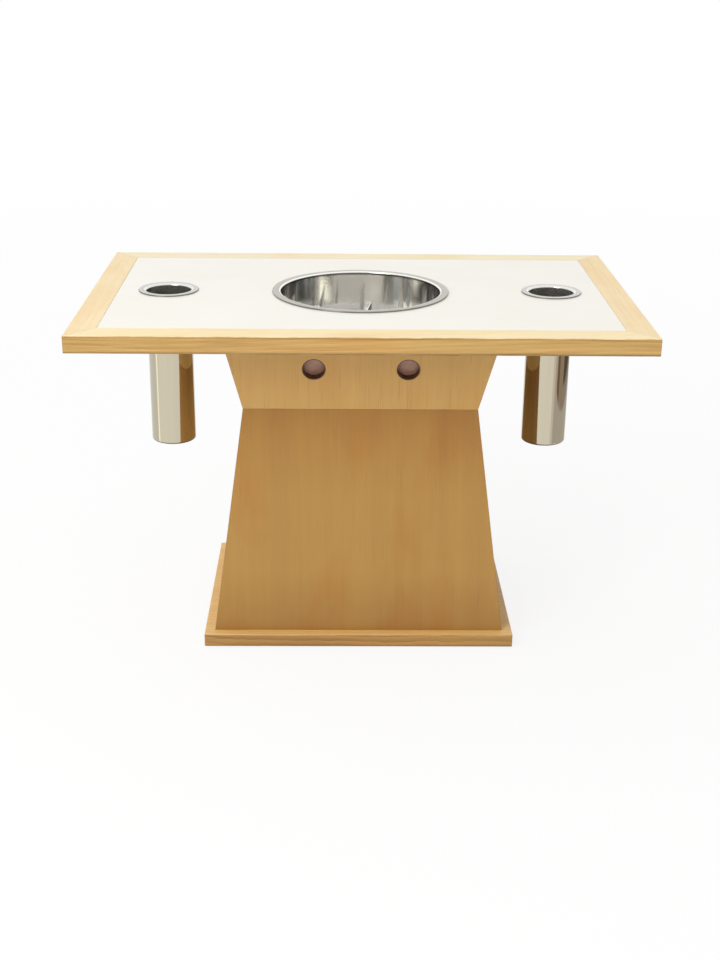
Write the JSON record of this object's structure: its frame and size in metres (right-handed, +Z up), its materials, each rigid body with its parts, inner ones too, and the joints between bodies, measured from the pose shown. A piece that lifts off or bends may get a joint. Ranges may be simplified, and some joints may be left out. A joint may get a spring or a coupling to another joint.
{
  "type": "hot pot table",
  "caption": "Pedestal dining table with a sunken steel pot well in a framed white top, lift-out ladle cups hung at both ends and a waisted wood-panel base.",
  "frame": {"origin": "on the floor, under the middle of the table top", "axes": "+X along the table's length, +Y from the front with the two blanked holes to the back, +Z up"},
  "size_m": [1.2, 0.773, 0.766],
  "materials": {
    "pale_oak": "satin lacquer",
    "golden_oak": "satin lacquered veneer",
    "white_slab": "polished cast stone resin",
    "board": "raw board",
    "steel": "polished stainless sheet",
    "seal": "translucent silicone",
    "brown_plastic": "glossy moulded",
    "felt": "pressed felt",
    "zinc": "zinc plated"
  },
  "bodies": {
    "table": {"top_slab": "white_slab", "core_board": "board", "edge_rail_front": "pale_oak", "edge_rail_right": "pale_oak", "edge_rail_back": "pale_oak", "edge_rail_left": "pale_oak", "pot_well": "steel", "well_seal": "seal", "hob_lug_back": "steel", "hob_lug_left": "steel", "hob_lug_front": "steel", "hob_lug_right": "steel", "upper_panel_front": "golden_oak", "upper_panel_right": "golden_oak", "upper_panel_back": "golden_oak", "upper_panel_left": "golden_oak", "lower_panel_front": "golden_oak", "lower_panel_right": "golden_oak", "lower_panel_back": "golden_oak", "lower_panel_left": "golden_oak", "hole_cap_left": "brown_plastic", "hole_cap_right": "brown_plastic", "top_cleat_front": "board", "top_cleat_right": "board", "top_cleat_back": "board", "top_cleat_left": "board", "waist_cleat_front": "board", "waist_cleat_right": "board", "waist_cleat_back": "board", "waist_cleat_left": "board", "base_cleat_front": "board", "base_cleat_right": "board", "base_cleat_back": "board", "base_cleat_left": "board", "base_plate": "golden_oak", "foot_pad_front_left": "felt", "foot_pad_front_right": "felt", "foot_pad_back_left": "felt", "foot_pad_back_right": "felt", "top_screw_front_1": "zinc", "top_screw_front_2": "zinc", "top_screw_right_1": "zinc", "top_screw_right_2": "zinc", "top_screw_back_1": "zinc", "top_screw_back_2": "zinc", "top_screw_left_1": "zinc", "top_screw_left_2": "zinc", "base_screw_front_1": "zinc", "base_screw_front_2": "zinc", "base_screw_right_1": "zinc", "base_screw_back_1": "zinc", "base_screw_back_2": "zinc", "base_screw_left_1": "zinc"},
    "ladle_cup_left": {"ladle_cup_left": "steel"},
    "ladle_cup_right": {"ladle_cup_right": "steel"}
  },
  "joints": [
    {"name": "lift_ladle_cup_left", "type": "slide", "parent": "table", "child": "ladle_cup_left", "axis": [0, 0, 1], "range_m": [0, 0.37]},
    {"name": "lift_ladle_cup_right", "type": "slide", "parent": "table", "child": "ladle_cup_right", "axis": [0, 0, 1], "range_m": [0, 0.37]}
  ]
}
